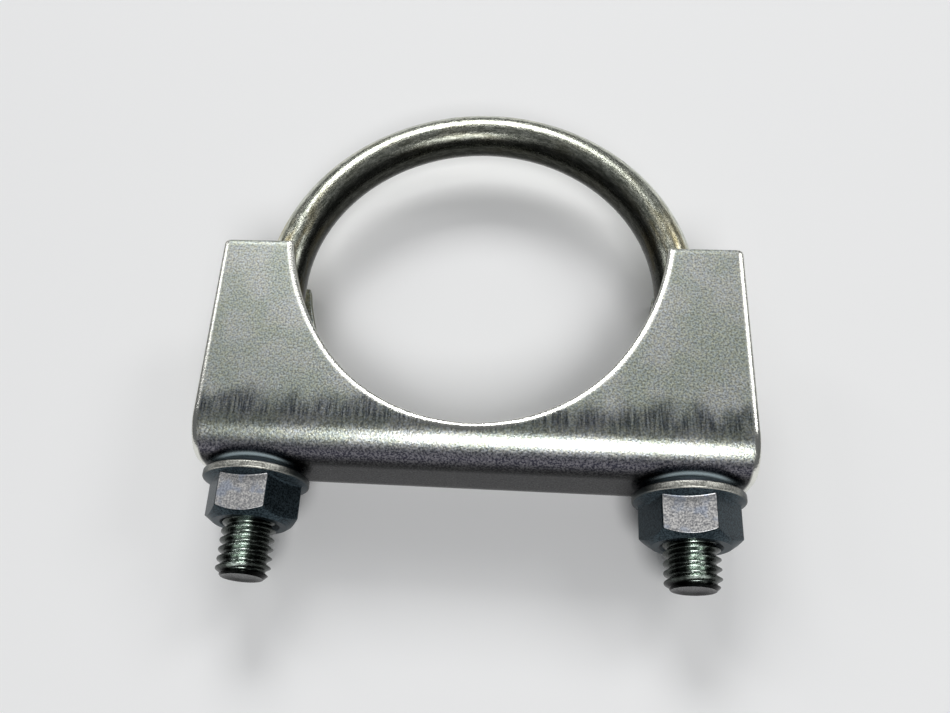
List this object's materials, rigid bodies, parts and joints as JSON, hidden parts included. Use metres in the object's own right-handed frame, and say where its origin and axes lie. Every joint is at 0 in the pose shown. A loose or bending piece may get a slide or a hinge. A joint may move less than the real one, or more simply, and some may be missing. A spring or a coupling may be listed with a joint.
{
  "type": "exhaust clamp",
  "caption": "U-bolt clamp for an exhaust pipe: a folded steel saddle, a round-rod U-bolt with threaded legs, and flange nuts that draw the pipe into the saddle.",
  "frame": {"origin": "centre of the pipe's seat, half way between the saddle's two walls", "axes": "+Z along the pipe's axis and up from the wall that the clamp lies on, +Y towards the U-bolt's ring, +X along the saddle"},
  "size_m": [0.095, 0.0985, 0.0218],
  "materials": {
    "saddle_zinc": "zinc-plated sheet, fine grain, dull",
    "rod_zinc": "zinc-plated drawn rod, glossy, faint yellow tint",
    "nut_zinc": "zinc-plated forging, glossy, faint blue tint"
  },
  "bodies": {
    "saddle": {"saddle": "saddle_zinc"},
    "u_bolt": {"u_bolt": "rod_zinc"},
    "nut_left": {"nut_left": "nut_zinc"},
    "nut_right": {"nut_right": "nut_zinc"}
  },
  "joints": [
    {"name": "left_nut_turn", "type": "hinge", "parent": "saddle", "child": "nut_left", "pos_m": [-0.0375, -0.0385, 0], "axis": [0, -1, 0], "range_deg": [-200, 2700]},
    {"name": "right_nut_turn", "type": "hinge", "parent": "saddle", "child": "nut_right", "pos_m": [0.0375, -0.0385, 0], "axis": [0, -1, 0], "range_deg": [-200, 2700]},
    {"name": "clamp_travel", "type": "slide", "parent": "saddle", "child": "u_bolt", "axis": [0, 1, 0], "range_m": [-0.00088, 0.0119]}
  ],
  "couplings": [
    {"joint": "left_nut_turn", "follows": "clamp_travel", "rad_per_m": 3957.9},
    {"joint": "right_nut_turn", "follows": "clamp_travel", "rad_per_m": 3957.9}
  ]
}
